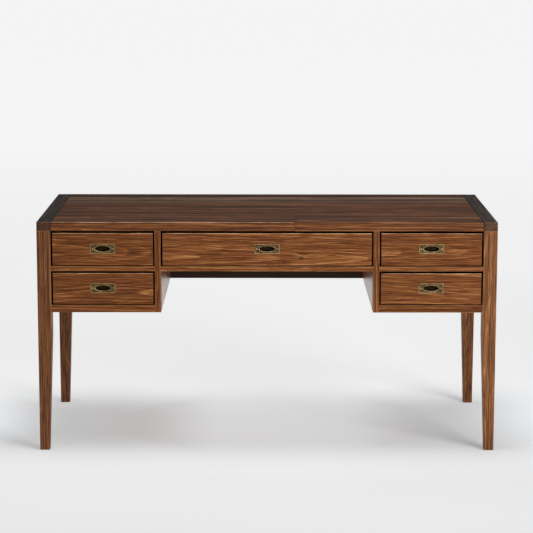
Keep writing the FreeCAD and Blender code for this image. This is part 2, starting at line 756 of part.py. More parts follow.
    def build_screw(self, name, side):
        """A slotted countersunk screw, its head level with the plate."""
        body = new_body(name)
        place(body, f"{self.origin[0]} + {self.middle[0]} + {side} * screw_spacing / 2",
              f"{FRONT} - plate_proud", f"{self.origin[2]} + {self.middle[1]}")
        half = new_sketch(body, "XY_Plane", "half")
        outline(half, [
            ("0", "0"),
            ("screw_head / 2", "0"),
            ("screw_shank / 2", "screw_countersink"),
            ("screw_shank / 2", "screw_length - screw_point"),
            ("0", "screw_length"),
        ])
        turned = body.newObject("PartDesign::Revolution", f"{name}_turned")
        turned.Profile = half
        turned.ReferenceAxis = (half, ["V_Axis"])
        turned.Angle = 360
        doc.recompute()
        housing(body, "slot", ("-screw_head / 2", "0", "-screw_slot / 2"),
                ("screw_head", "screw_slot", "screw_slot"))
        return body

    def build(self):
        self.build_front()
        self.build_box()
        self.build_pull()
        name = f"{self.name}_pull_screw"
        grouped(f"{name}s", [self.build_screw(f"{name}_left", "-1"), self.build_screw(f"{name}_right", "1")])


def aim_back(solid):
    """Turn a primitive's axis from Z to +Y, into the drawer front."""
    solid.Placement = FreeCAD.Placement(FreeCAD.Vector(), FreeCAD.Rotation(FreeCAD.Vector(1, 0, 0), -90))


def build_drawers():
    banks = (("left", f"(-{BANK_OUTER})"), ("right", BANK_INNER))
    rows = (("upper", RAIL_TOP, "upper_opening"), ("lower", SILL_TOP, "lower_opening"))
    for side, left in banks:
        for row, bottom, opening in rows:
            Drawer(f"{side}_{row}_drawer", left, "bank_width", bottom, opening).build()
    Drawer("center_drawer", f"(-{KNEE_HALF})", f"(2 * {KNEE_HALF})", RAIL_TOP, "upper_opening").build()


def check():
    """Every object computed, every piece a set of valid closed solids."""
    for thing in doc.Objects:
        if "Invalid" in thing.State or "Error" in thing.State:
            raise RuntimeError(f"{thing.Name} failed: {thing.State}")
    for piece in pieces:
        shape = piece.Shape
        if shape.isNull() or not shape.isValid() or not shape.Solids:
            raise RuntimeError(f"{piece.Label} has no valid solid")


build_top()
build_legs()
build_front_frame()
build_panels()
build_runners()
build_cleats()
build_drawers()
doc.recompute()
check()
os.makedirs("parts", exist_ok=True)
for piece in pieces:
    piece.Shape.exportStep(f"parts/{piece.Label}.step")
print(f"{len(pieces)} pieces written")
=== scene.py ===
import math
import random

import bmesh
import bpy
from mathutils import Euler, Matrix, Vector


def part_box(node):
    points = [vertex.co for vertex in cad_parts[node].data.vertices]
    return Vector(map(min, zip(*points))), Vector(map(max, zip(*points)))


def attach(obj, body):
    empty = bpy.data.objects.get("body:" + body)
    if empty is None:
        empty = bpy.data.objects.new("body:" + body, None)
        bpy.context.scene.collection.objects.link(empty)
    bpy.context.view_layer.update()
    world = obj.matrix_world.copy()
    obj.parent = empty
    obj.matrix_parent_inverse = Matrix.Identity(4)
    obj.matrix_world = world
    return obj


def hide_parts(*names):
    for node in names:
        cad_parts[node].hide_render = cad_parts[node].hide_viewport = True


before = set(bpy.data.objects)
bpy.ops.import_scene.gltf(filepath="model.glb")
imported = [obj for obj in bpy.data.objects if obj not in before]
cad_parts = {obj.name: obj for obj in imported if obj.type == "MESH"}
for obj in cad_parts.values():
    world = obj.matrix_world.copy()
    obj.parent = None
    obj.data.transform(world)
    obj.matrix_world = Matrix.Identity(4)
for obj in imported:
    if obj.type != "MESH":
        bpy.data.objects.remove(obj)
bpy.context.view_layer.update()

mm = 0.001
hair = 0.01 * mm        # points nearer than this lie at the same place
drawers = [
    "left_upper_drawer", "left_lower_drawer", "center_drawer",
    "right_upper_drawer", "right_lower_drawer",
]


def hexColor(code):        # sRGB hex to linear, with full alpha
    parts = [int(code[at:at + 2], 16) / 255 for at in (1, 3, 5)]
    return [p / 12.92 if p <= 0.04045 else ((p + 0.055) / 1.055) ** 2.4 for p in parts] + [1.0]


def addNode(tree, kind, settings=None, links=None):        # a link is a socket, or a node's first output
    node = tree.nodes.new(kind)
    for key, value in (settings or {}).items():
        if key == "stops":
            ramp = node.color_ramp
            ramp.elements[0].position = value[0][0]
            ramp.elements[1].position = value[-1][0]
            for stop in value[1:-1]:
                ramp.elements.new(stop[0])
            for element, stop in zip(ramp.elements, value):
                element.color = hexColor(stop[1])
        elif isinstance(key, str) and hasattr(node, key):
            setattr(node, key, value)
        else:
            node.inputs[key].default_value = value
    for key, source in (links or {}).items():
        socket = source.outputs[0] if isinstance(source, bpy.types.Node) else source
        tree.links.new(socket, node.inputs[key])
    return node


def newMaterial(name):
    material = bpy.data.materials.new(name)
    material.use_nodes = True
    tree = material.node_tree
    return material, tree, tree.nodes["Principled BSDF"]


def depthInside(tree, place, low, high):        # how far a point lies inside each pair of a box's faces
    fromMiddle = addNode(tree, "ShaderNodeVectorMath",
                         {"operation": "SUBTRACT", 1: (low + high) / 2}, {0: place})
    reach = addNode(tree, "ShaderNodeVectorMath", {"operation": "ABSOLUTE"}, {0: fromMiddle})
    inside = addNode(tree, "ShaderNodeVectorMath",
                     {"operation": "SUBTRACT", 0: (high - low) / 2}, {1: reach})
    return addNode(tree, "ShaderNodeSeparateXYZ", links={0: inside}).outputs


# Camera where the photographer stood: a long lens, well back, a little above the desk
viewpoint = {
    "place": (-0.0131, -6.6751, 1.6971),
    "pitchDown": 9.619,        # degrees
    "turnRight": 0.101,
    "roll": 0.08,
    "focalPixels": 1936.5,
    "framePixels": 533,
    "sensorWidth": 36.0,
    "seesAsFar": 200,        # metres
}


def addCamera():
    bpy.ops.object.select_all(action="DESELECT")
    bpy.ops.object.camera_add()
    camera = bpy.context.object
    camera.name = "photoCamera"
    camera.data.sensor_width = viewpoint["sensorWidth"]
    camera.data.lens = viewpoint["focalPixels"] / viewpoint["framePixels"] * viewpoint["sensorWidth"]
    camera.data.clip_end = viewpoint["seesAsFar"]
    turn = Matrix.Rotation(math.radians(-viewpoint["turnRight"]), 4, "Z")
    pitch = Matrix.Rotation(math.radians(90 - viewpoint["pitchDown"]), 4, "X")
    roll = Matrix.Rotation(math.radians(viewpoint["roll"]), 4, "Z")
    camera.matrix_world = Matrix.Translation(viewpoint["place"]) @ turn @ pitch @ roll
    bpy.context.scene.camera = camera


addCamera()
print("camera set")


# Studio: one wide pale paper floor with a little light of its own, a soft box overhead,
# a larger one front right, and dim walls that keep the haze off the dark wood
studio = {
    "floorRadius": 85.0,
    "floorDrop": 0.4 * mm,
    "paper": "#e5e6e7",
    "paperRough": 0.9,
    "mottle": (0.6, 2.0, 0.5),        # noise per metre, its detail, metres by which it moves the glow
    # glow of the paper along the floor, painted light that evens out where the lamps fall off; lower round
    # the desk as painted shade, and tinted there against warm light off the wood
    "glow": (
        (0.0, "#d4d4d4"), (0.3, "#c0c0c0"), (0.4, "#7a7a7a"), (0.473, "#3a3a3a"), (0.502, "#6b6968"),
        (0.526, "#747373"), (0.557, "#9fa5a9"), (0.592, "#9f9e9e"), (0.632, "#aaaaaa"), (0.703, "#bebebe"),
        (0.767, "#c6c6c6"), (0.863, "#cdcdcd"), (1.0, "#d3d3d3"),
    ),
    "glowReach": (-12.0, 10.0),        # metres from far before the desk to far behind it
    "lean": (-2.0, 3.3, -0.12),        # evens out the key light from the right: from, to, fall per metre
    "leanWidth": 1.2,        # metres to each side over which it falls
    "paintedShadeAndLight": (        # painted shadow: two corners of a patch of floor, and how much darker it is
        ((-0.86, -0.27), (-0.31, 0.31), 0.5),        # under the left pedestal
        ((0.41, -0.27), (0.76, 0.31), 0.34),        # under the right pedestal
        ((-0.42, 0.2), (0.45, 0.57), -0.21),        # behind the knee hole, painted lighter
    ),
    "paintedPatchSoft": 0.17,
    "ceiling": 0.45,
    "ceilingFrom": (0.35, 0.8),        # height of the looking direction
    "frontWall": 0.30,
    "rearWall": 0.10,
    "rearFrom": (-0.4, 0.4),
    "sideWalls": 0.50,
    "sidesFrom": (0.55, 0.9),
    "backdrop": 0.88,
    "boxes": {
        "overheadBox": {"place": (0.15, -0.15, 3.4), "aim": (0.0, 0.0, 0.0), "size": 1.3, "power": 36},
        "keyBox": {"place": (3.0, -3.6, 2.1), "aim": (0.1, -0.3, 0.55), "size": 2.2, "power": 130},
    },
}


def paintFloor():        # matte paper: an even tone, faintly mottled, glowing with painted light that is lower round the desk, with painted shadows under the pedestals
    material, tree, shader = newMaterial("matte_paper_floor")
    place = addNode(tree, "ShaderNodeTexCoord").outputs["Object"]
    axes = addNode(tree, "ShaderNodeSeparateXYZ", links={0: place}).outputs
    scale, detail, moved = studio["mottle"]
    mottle = addNode(tree, "ShaderNodeTexNoise", {"Scale": scale, "Detail": detail}, {"Vector": place})
    shift = addNode(tree, "ShaderNodeMath", {"operation": "MULTIPLY_ADD", 1: moved},
                    {0: mottle, 2: axes["Y"]})
    first, last = studio["glowReach"]
    reach = addNode(tree, "ShaderNodeMapRange", {"From Min": first, "From Max": last}, {"Value": shift})
    glow = addNode(tree, "ShaderNodeValToRGB", {"stops": studio["glow"]}, {"Fac": reach})
    color = glow.outputs["Color"]
    soft = studio["paintedPatchSoft"]
    # painted shadows under the pedestals, and painted light behind the knee hole
    for low, high, strength in studio["paintedShadeAndLight"]:
        depth = depthInside(tree, place, Vector((*low, -1)), Vector((*high, 1)))
        within = addNode(tree, "ShaderNodeMath", {"operation": "MINIMUM"}, {0: depth["X"], 1: depth["Y"]})
        level = addNode(tree, "ShaderNodeMapRange",
                        {"interpolation_type": "SMOOTHSTEP", "From Min": -soft, "From Max": soft,
                         "To Min": 1.0, "To Max": 1 - strength}, {"Value": within})
        color = addNode(tree, "ShaderNodeVectorMath", {"operation": "MULTIPLY"}, {0: color, 1: level})
    near, far, fall = studio["lean"]
    slope = addNode(tree, "ShaderNodeMapRange",
                    {"From Min": near, "From Max": far, "To Min": fall, "To Max": 0.0}, {"Value": axes["Y"]})
    wide = studio["leanWidth"]
    aside = addNode(tree, "ShaderNodeMapRange",
                    {"From Min": -wide, "From Max": wide, "To Min": -wide, "To Max": wide},
                    {"Value": axes["X"]})
    lean = addNode(tree, "ShaderNodeMath", {"operation": "MULTIPLY"}, {0: slope, 1: aside})
    evened = addNode(tree, "ShaderNodeVectorMath", {"operation": "ADD"}, {0: color, 1: lean})
    light = addNode(tree, "ShaderNodeVectorMath", {"operation": "MAXIMUM", 1: (0, 0, 0)}, {0: evened})
    tree.links.new(light.outputs[0], shader.inputs["Emission Color"])
    shader.inputs["Emission Strength"].default_value = 1.0
    shader.inputs["Base Color"].default_value = hexColor(studio["paper"])
    shader.inputs["Roughness"].default_value = studio["paperRough"]
    shader.inputs["Specular IOR Level"].default_value = 0.0
    return material


def lightWorld():
    world = bpy.data.worlds.new("studio_light")
    world.use_nodes = True
    bpy.context.scene.world = world
    tree = world.node_tree
    tree.nodes.clear()
    toward = addNode(tree, "ShaderNodeTexCoord").outputs["Generated"]
    axes = addNode(tree, "ShaderNodeSeparateXYZ", links={0: toward}).outputs
    wall = addNode(tree, "ShaderNodeMapRange",
                   {"interpolation_type": "SMOOTHSTEP",
                    "From Min": studio["rearFrom"][0], "From Max": studio["rearFrom"][1],
                    "To Min": studio["frontWall"], "To Max": studio["rearWall"]}, {"Value": axes["Y"]})
    across = addNode(tree, "ShaderNodeMath", {"operation": "ABSOLUTE"}, {0: axes["X"]})
    aside = addNode(tree, "ShaderNodeMapRange",
                    {"interpolation_type": "SMOOTHSTEP",
                     "From Min": studio["sidesFrom"][0], "From Max": studio["sidesFrom"][1]},
                    {"Value": across})
    around = addNode(tree, "ShaderNodeMix", {3: studio["sideWalls"]}, {0: aside, 2: wall})
    high = addNode(tree, "ShaderNodeMapRange",
                   {"interpolation_type": "SMOOTHSTEP",
                    "From Min": studio["ceilingFrom"][0], "From Max": studio["ceilingFrom"][1]},
                   {"Value": axes["Z"]})
    level = addNode(tree, "ShaderNodeMix", {3: studio["ceiling"]}, {0: high, 2: around})
    seen = addNode(tree, "ShaderNodeLightPath").outputs["Is Camera Ray"]
    light = addNode(tree, "ShaderNodeBackground", links={"Strength": level})
    plain = addNode(tree, "ShaderNodeBackground", {"Strength": studio["backdrop"]})
    both = addNode(tree, "ShaderNodeMixShader", links={0: seen, 1: light, 2: plain})
    addNode(tree, "ShaderNodeOutputWorld", links={"Surface": both})


def addStudio():
    bpy.context.scene.view_settings.view_transform = "Standard"
    bpy.ops.object.select_all(action="DESELECT")
    bpy.ops.mesh.primitive_circle_add(vertices=64, radius=studio["floorRadius"], fill_type="NGON",
                                      location=(0, 0, -studio["floorDrop"]))
    floor = bpy.context.object
    floor.name = "floor"
    bpy.ops.object.transform_apply(location=True, rotation=True, scale=True)
    floor.data.materials.append(paintFloor())
    lightWorld()
    for name, box in studio["boxes"].items():
        bpy.ops.object.light_add(type="AREA", location=box["place"])
        light = bpy.context.object
        light.name = name
        light.data.size = box["size"]
        light.data.energy = box["power"]
        aim = Vector(box["aim"]) - Vector(box["place"])
        light.rotation_euler = aim.to_track_quat("-Z", "Y").to_euler()


addStudio()
print("studio set")


# Reclaimed pine, sawn, brushed, stained and waxed: wavy growth rings whose hard late wood stays orange,
# dark fibre streaks, dark wax in the open grain, small knots, patchy stain, rubbed arrises, some also a
# painted highlight, grime where boards meet, and painted shade round the drawer openings and on the back
# panel
grainTurn = {
    "X": Euler((0, 0, 0)),
    "Y": Euler((0, 0, -math.pi / 2)),
    "Z": Euler((0, math.pi / 2, 0)),
}
stainedLook = {
    "colors": ("#452006", "#733f17", "#8b5329", "#bc844f"),
    "aged": None,        # colours of the upper side, where they differ
    "worn": "#cf9a68",
    "knot": "#241106",
    # dark of the grime in joints, and of the painted shade round the openings
    "shade": "#0d0703",
    "ring": 0.64,
    "ringWidth": 4.6,        # millimetres, as the rest
    "tilt": (1.0, 3.2),        # degrees of the log to the board
    "fibre": (240, 3.3, 3.3),        # size of the streaks along, across and through the log
    "fibreDepth": 0.42,
    "cloud": (150, 16, 16),
    "cloudDepth": 0.2,
    "poreDepth": 0.5,
    "wax": 0.42,        # how much darker the open grain is
    "waxLine": (70, 1.9, 1.9),
    "wear": 0.85,
    "wearWidth": 2.6,
    "rough": (0.42, 0.62),
    "gloss": 0.18,
    "relief": 0.5,
}
drawerLook = {
    **stainedLook,
    "ring": 0.66,
    "ringWidth": 6.4,
    "fibre": (115, 2.6, 2.6),
    "fibreDepth": 0.38,
    "cloudDepth": 0.14,
    # pale upper arris of the fronts: worn wood and painted highlight
    "worn": "#e0b288",
    "wear": 1.0,
    "wearWidth": 2.8,
}
frameLook = {
    **stainedLook,
    "wear": 0.3,
}
topLook = {
    **stainedLook,
    "aged": ("#22120a", "#52301b", "#6e452c", "#9c7250"),
    "ring": 0.3,
    "fibre": (700, 20, 2.8),
    "fibreDepth": 0.44,
    "cloud": (1200, 40, 10),
    "cloudDepth": 0.45,
    "rough": (0.5, 0.7),
    "gloss": 0.25,
    "wearWidth": 2.0,
}
brushedLook = {
    **topLook,
    "fibre": (300, 20, 3.4),
    "fibreDepth": 0.55,
    "wear": 0.3,
}
# front plank's left length: its front arris painted pale, worn wood and painted highlight
wornHighlitLook = {
    **brushedLook,
    "worn": "#dcb595",
    "wear": 0.9,
    "wearWidth": 3.0,
}
# paler, greyer upper side: painted sheen of low light from behind
sheenPaintedLook = {
    **topLook,
    "aged": ("#2b1d15", "#563e2f", "#745742", "#a58a76"),
}
endLook = {
    **stainedLook,
    "colors": ("#180b06", "#3b2115", "#4f3020", "#714c2e"),
    "aged": ("#100d0b", "#26201c", "#352d28", "#50453d"),
    "worn": "#8a6546",
    "rough": (0.5, 0.7),
    "gloss": 0.25,
}
kneeLook = {
    **stainedLook,
    "rough": (0.2, 0.3),
    "gloss": 0.42,
}
legLook = {
    **frameLook,
    "colors": ("#46240b", "#74441d", "#8b5830", "#bb8856"),
    "ring": 0.34,
    "fibreDepth": 0.5,
    "gloss": 0.27,
}
# a lighter painted shade on the back panel's inner face
backLook = {
    **frameLook,
    "shade": "#20160f",
}
bareLook = {
    **stainedLook,
    "colors": ("#8a6138", "#b58955", "#c9a16d", "#dfc296"),
    "worn": "#d9bd92",
    "knot": "#5a3517",
    # on bare boards a milder painted shade round the openings
    "shade": "#5a3c20",
    "ring": -0.35,
    "fibreDepth": 0.22,
    "wax": 0.08,
    "wear": 0.3,
    "rough": (0.6, 0.8),
    "gloss": 0.35,
}
growth = {        # what all the boards share, in millimetres where nothing else is said
    "heartDeep": (18, 52),        # the log's heart behind the board's middle
    "heartAside": 30,
    "heartAlong": (1, 30),        # metres, so that every board shows another stretch of a log
    "sway": ((460, 110, 110), 26),        # size of the slow wander, and how far it goes
    "ripple": ((60, 18, 18), 3),
    "knots": (4.2, 8, 8),        # per metre along, across and through the log
    "knotSwell": (0.02, 0.24, 4),        # from and to, as a part of the way between knots; rings swell by
    "knotCore": (0.02, 0.06, 0.7),        # from and to; how dark
    "uneven": (0.4, 2.4),        # how often ring widths change, and by how many rings
    "lateRise": 2.5,        # power by which late wood sets in over a year
    "lateEnd": 0.84,
    "fibreSway": 5,
    "fibreEdge": (0.34, 0.66),        # noise from which a streak shows, and to which it gains
    "pores": (30, 0.8, 0.8),
    "waxEdge": (0.54, 0.68),
    "toneSpread": 0.03,        # chance difference between boards
    "ringShare": 0.12,        # what rings add to a board's mean tone, which is taken off
    "stainLevels": (0.1, 0.4, 0.62, 0.92),
    "upward": (0.45, 0.95),        # the upward part of a normal at which the aged side begins
}
wear = {        # millimetres, and strengths from 0 to 1
    "scuff": ((60, 9, 9), 5),        # size of the ragged edge, and its depth
    "start": 2.4,
    "grime": (0.5, 2.6, 0.95),        # from and to, off a seam; how dark
    "paintedShade": (0.5, 0.92),        # painted shade: over how far it sets in round an opening; how dark
    "nail": (0.7, 0.9),        # dark part of a mark's size; how dark
    "lateRelief": 0.7,        # height of late wood beside the pores
    "planed": ((160, 30, 30), 0.5),        # size of a hand plane's waves, and their depth
    "brushed": 0.3,
}
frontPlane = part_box("rail_center")[0].y
shadedOpenings = [        # the drawer openings, seen on one half, from just behind the front plane; faces in them get painted shade
    (Vector((-0.1, frontPlane + 1.2 * mm, 0.6255)), Vector((0.7165, 0.36, 0.7445))),
    (Vector((0.3715, frontPlane + 1.2 * mm, 0.4955)), Vector((0.7165, 0.36, 0.6105))),
]
# painted shade on the drawer fronts' faces behind the front plane, in the gaps round the drawers
shadeBehindFront = [(Vector((-1, frontPlane + 1.4 * mm, -1)), Vector((1, 1, 1)))]
# painted shade on the back panel's inner face, seen through the knee hole
shadeOnBackFace = [(Vector((-1, 0.3, 0.4)), Vector((1, 0.345, 0.8)))]


def streaks(tree, log, size, detail):        # noise drawn out along the grain, in millimetres
    stretch = [1 / (part * mm) for part in size]
    drawn = addNode(tree, "ShaderNodeVectorMath", {"operation": "MULTIPLY", 1: stretch}, {0: log})
    return addNode(tree, "ShaderNodeTexNoise",
                   {"Scale": 1.0, "Detail": detail, "Roughness": 0.55}, {"Vector": drawn})


def layBoard(tree, look, low, high, grain, dice, place):
    # The log lies along X with its heart behind the broad face, a little askew to the board
    middle = (low + high) / 2
    turn = grainTurn[grain].to_matrix()
    spread = [abs(part) for part in turn @ ((high - low) / 2)]
    deep = dice.uniform(*growth["heartDeep"]) * mm
    aside = dice.uniform(-growth["heartAside"], growth["heartAside"]) * mm
    along = dice.uniform(*growth["heartAlong"])
    heart = Vector((along, deep, aside) if spread[1] < spread[2] else (along, aside, deep))
    slope = [math.radians(dice.choice((-1, 1)) * dice.uniform(*look["tilt"])) for _ in range(2)]
    askew = Euler((0, slope[0], slope[1])).to_matrix() @ turn
    return [addNode(tree, "ShaderNodeMapping",
                    {"Location": heart - way @ middle, "Rotation": way.to_euler()}, {"Vector": place})
            for way in (turn, askew)]


def growRings(tree, look, log, sway):
    # Growth rings, wandering slowly, rippling finely and swelling round small knots
    far = growth["sway"][1] * mm
    swayed = addNode(tree, "ShaderNodeVectorMath",
                     {"operation": "MULTIPLY_ADD", 1: (0, far, far)}, {0: sway, 2: log})
    size, far = growth["ripple"]
    ripple = streaks(tree, log, size, 2).outputs["Color"]
    rippled = addNode(tree, "ShaderNodeVectorMath",
                      {"operation": "MULTIPLY_ADD", 1: (0, far * mm, far * mm)}, {0: ripple, 2: swayed})
    flat = addNode(tree, "ShaderNodeVectorMath", {"operation": "MULTIPLY", 1: (0, 1, 1)}, {0: rippled})
    radius = addNode(tree, "ShaderNodeVectorMath", {"operation": "LENGTH"}, {0: flat}).outputs["Value"]
    knotSpace = addNode(tree, "ShaderNodeVectorMath",
                        {"operation": "MULTIPLY", 1: growth["knots"]}, {0: log})
    knots = addNode(tree, "ShaderNodeTexVoronoi", {"Scale": 1.0}, {"Vector": knotSpace}).outputs["Distance"]
    near, far, most = growth["knotSwell"]
    swell = addNode(tree, "ShaderNodeMapRange",
                    {"interpolation_type": "SMOOTHSTEP", "From Min": near, "From Max": far,
                     "To Min": most * mm, "To Max": 0.0}, {"Value": knots})
    around = addNode(tree, "ShaderNodeMath", {"operation": "ADD"}, {0: radius, 1: swell})
    count = addNode(tree, "ShaderNodeMath",
                    {"operation": "MULTIPLY", 1: 1 / (look["ringWidth"] * mm)}, {0: around})
    often, shift = growth["uneven"]
    uneven = addNode(tree, "ShaderNodeTexNoise",
                     {"noise_dimensions": "1D", "Scale": often, "Detail": 1.0}, {"W": count})
    years = addNode(tree, "ShaderNodeMath", {"operation": "MULTIPLY_ADD", 1: shift}, {0: uneven, 2: count})
    season = addNode(tree, "ShaderNodeMath", {"operation": "FRACT"}, {0: years})
    rise = addNode(tree, "ShaderNodeMath", {"operation": "POWER", 1: growth["lateRise"]}, {0: season})
    drop = addNode(tree, "ShaderNodeMapRange",
                   {"interpolation_type": "SMOOTHSTEP", "From Min": growth["lateEnd"], "From Max": 1.0,
                    "To Min": 1.0, "To Max": 0.0}, {"Value": season})
    late = addNode(tree, "ShaderNodeMath", {"operation": "MULTIPLY"}, {0: rise, 1: drop})
    year = addNode(tree, "ShaderNodeMath", {"operation": "FLOOR"}, {0: years})
    strength = addNode(tree, "ShaderNodeTexWhiteNoise",
                       {"noise_dimensions": "1D"}, {"W": year}).outputs["Value"]
    lateWood = addNode(tree, "ShaderNodeMath", {"operation": "MULTIPLY"}, {0: late, 1: strength})
    return lateWood, knots


def pine(name, look, low, high, grain, seed, tone=0.0, exposed=None, seams=None, shaded=(), marks=()):
    dice = random.Random(seed)
    material, tree, shader = newMaterial(name)
    coords = addNode(tree, "ShaderNodeTexCoord")
    place = coords.outputs["Object"]
    board, log = layBoard(tree, look, low, high, grain, dice, place)
    sway = streaks(tree, log, growth["sway"][0], 2).outputs["Color"]
    lateWood, knots = growRings(tree, look, log, sway)

    # Tone: rings, fibre streaks, pores, dark wax and patchy stain together pick the stain's colour
    far = growth["fibreSway"] * mm
    flow = addNode(tree, "ShaderNodeVectorMath",
                   {"operation": "MULTIPLY_ADD", 1: (0, far, far)}, {0: sway, 2: board})
    fibre = addNode(tree, "ShaderNodeMapRange",
                    {"interpolation_type": "SMOOTHSTEP",
                     "From Min": growth["fibreEdge"][0], "From Max": growth["fibreEdge"][1]},
                    {"Value": streaks(tree, flow, look["fibre"], 3)})
    cloud = streaks(tree, flow, look["cloud"], 3)
    pores = streaks(tree, flow, growth["pores"], 2)
    wax = addNode(tree, "ShaderNodeMapRange",
                  {"interpolation_type": "SMOOTHSTEP", "From Min": growth["waxEdge"][0],
                   "From Max": growth["waxEdge"][1], "To Max": -look["wax"]},
                  {"Value": streaks(tree, flow, look["waxLine"], 2)})
    chance = dice.uniform(-growth["toneSpread"], growth["toneSpread"])
    start = 0.5 + tone + chance - look["ring"] * growth["ringShare"]
    start -= (look["fibreDepth"] + look["cloudDepth"] + look["poreDepth"]) / 2
    stain = addNode(tree, "ShaderNodeMath",
                    {"operation": "MULTIPLY_ADD", 1: look["fibreDepth"], 2: start}, {0: fibre})
    for layer, depth in ((cloud, "cloudDepth"), (pores, "poreDepth"), (lateWood, "ring")):
        stain = addNode(tree, "ShaderNodeMath",
                        {"operation": "MULTIPLY_ADD", 1: look[depth]}, {0: layer, 2: stain})
    stain = addNode(tree, "ShaderNodeMath", {"operation": "ADD"}, {0: stain, 1: wax})
    levels = growth["stainLevels"]
    color = addNode(tree, "ShaderNodeValToRGB", {"stops": list(zip(levels, look["colors"]))},
                    {"Fac": stain}).outputs["Color"]
    if look["aged"]:        # the writing side has gone darker and greyer; on some planks the paler grey is painted sheen
        aged = addNode(tree, "ShaderNodeValToRGB", {"stops": list(zip(levels, look["aged"]))}, {"Fac": stain})
        facing = addNode(tree, "ShaderNodeSeparateXYZ", links={0: coords.outputs["Normal"]}).outputs["Z"]
        upward = addNode(tree, "ShaderNodeMapRange",
                         {"interpolation_type": "SMOOTHSTEP",
                          "From Min": growth["upward"][0], "From Max": growth["upward"][1]},
                         {"Value": facing})
        color = addNode(tree, "ShaderNodeMix", {"data_type": "RGBA"},
                        {0: upward, 6: color, 7: aged}).outputs[2]
    near, far, dark = growth["knotCore"]
    core = addNode(tree, "ShaderNodeMapRange",
                   {"interpolation_type": "SMOOTHSTEP", "From Min": near, "From Max": far,
                    "To Min": dark, "To Max": 0.0}, {"Value": knots})
    color = addNode(tree, "ShaderNodeMix", {"data_type": "RGBA", 7: hexColor(look["knot"])},
                    {0: core, 6: color}).outputs[2]

    # Pale arrises: rubbed wood, and on the drawer fronts and the front plank's left length also a painted
    # highlight. The distance to the nearest edge is the middle one of the three depths in the box
    depth = depthInside(tree, place, *(exposed or (low, high)))
    least = addNode(tree, "ShaderNodeMath", {"operation": "MINIMUM"}, {0: depth["X"], 1: depth["Y"]})
    most = addNode(tree, "ShaderNodeMath", {"operation": "MAXIMUM"}, {0: depth["X"], 1: depth["Y"]})
    lower = addNode(tree, "ShaderNodeMath", {"operation": "MINIMUM"}, {0: most, 1: depth["Z"]})
    edge = addNode(tree, "ShaderNodeMath", {"operation": "MAXIMUM"}, {0: least, 1: lower})
    size, far = wear["scuff"]
    scuff = streaks(tree, board, size, 3)
    ragged = addNode(tree, "ShaderNodeMath", {"operation": "MULTIPLY_ADD", 1: far * mm}, {0: scuff, 2: edge})
    wearAndHighlight = addNode(tree, "ShaderNodeMapRange",
                     {"interpolation_type": "SMOOTHSTEP", "From Min": wear["start"] * mm,
                      "From Max": (wear["start"] + look["wearWidth"]) * mm,
                      "To Min": look["wear"], "To Max": 0.0}, {"Value": ragged})
    color = addNode(tree, "ShaderNodeMix", {"data_type": "RGBA", 7: hexColor(look["worn"])},
                    {0: wearAndHighlight, 6: color}).outputs[2]
    if seams:        # grime in the joints between boards
        depth = depthInside(tree, place, *seams)
        nearest = addNode(tree, "ShaderNodeMath", {"operation": "MINIMUM"}, {0: depth["X"], 1: depth["Y"]})
        near, far, dark = wear["grime"]
        grime = addNode(tree, "ShaderNodeMapRange",
                        {"interpolation_type": "SMOOTHSTEP", "From Min": near * mm, "From Max": far * mm,
                         "To Min": dark, "To Max": 0.0}, {"Value": nearest})
        color = addNode(tree, "ShaderNodeMix", {"data_type": "RGBA", 7: hexColor(look["shade"])},
                        {0: grime, 6: color}).outputs[2]
    if shaded:        # painted shade on faces round the drawer openings, behind the drawer fronts and on the back panel's inner face, the same on both halves
        parts = addNode(tree, "ShaderNodeSeparateXYZ", links={0: place}).outputs
        either = addNode(tree, "ShaderNodeMath", {"operation": "ABSOLUTE"}, {0: parts["X"]})
        folded = addNode(tree, "ShaderNodeCombineXYZ",
                         links={"X": either, "Y": parts["Y"], "Z": parts["Z"]})
        far, dark = wear["paintedShade"]
        for boxLow, boxHigh in shaded:
            depth = depthInside(tree, folded, boxLow, boxHigh)
            least = addNode(tree, "ShaderNodeMath", {"operation": "MINIMUM"}, {0: depth["X"], 1: depth["Y"]})
            within = addNode(tree, "ShaderNodeMath", {"operation": "MINIMUM"}, {0: least, 1: depth["Z"]})
            paintedShade = addNode(tree, "ShaderNodeMapRange",
                            {"interpolation_type": "SMOOTHSTEP", "From Min": 0.0, "From Max": far * mm,
                             "To Max": dark}, {"Value": within})
            color = addNode(tree, "ShaderNodeMix", {"data_type": "RGBA", 7: hexColor(look["shade"])},
                            {0: paintedShade, 6: color}).outputs[2]
    for point, size in marks:        # dark plugged nail holes
        away = addNode(tree, "ShaderNodeVectorMath",
                       {"operation": "DISTANCE", 1: point}, {0: place}).outputs["Value"]
        solid, dark = wear["nail"]
        spot = addNode(tree, "ShaderNodeMapRange",
                       {"interpolation_type": "SMOOTHSTEP", "From Min": solid * size * mm,
                        "From Max": size * mm, "To Min": dark, "To Max": 0.0}, {"Value": away})
        color = addNode(tree, "ShaderNodeMix", {"data_type": "RGBA", 7: hexColor(look["knot"])},
                        {0: spot, 6: color}).outputs[2]
    tree.links.new(color, shader.inputs["Base Color"])
    shader.inputs["Specular IOR Level"].default_value = look["gloss"]

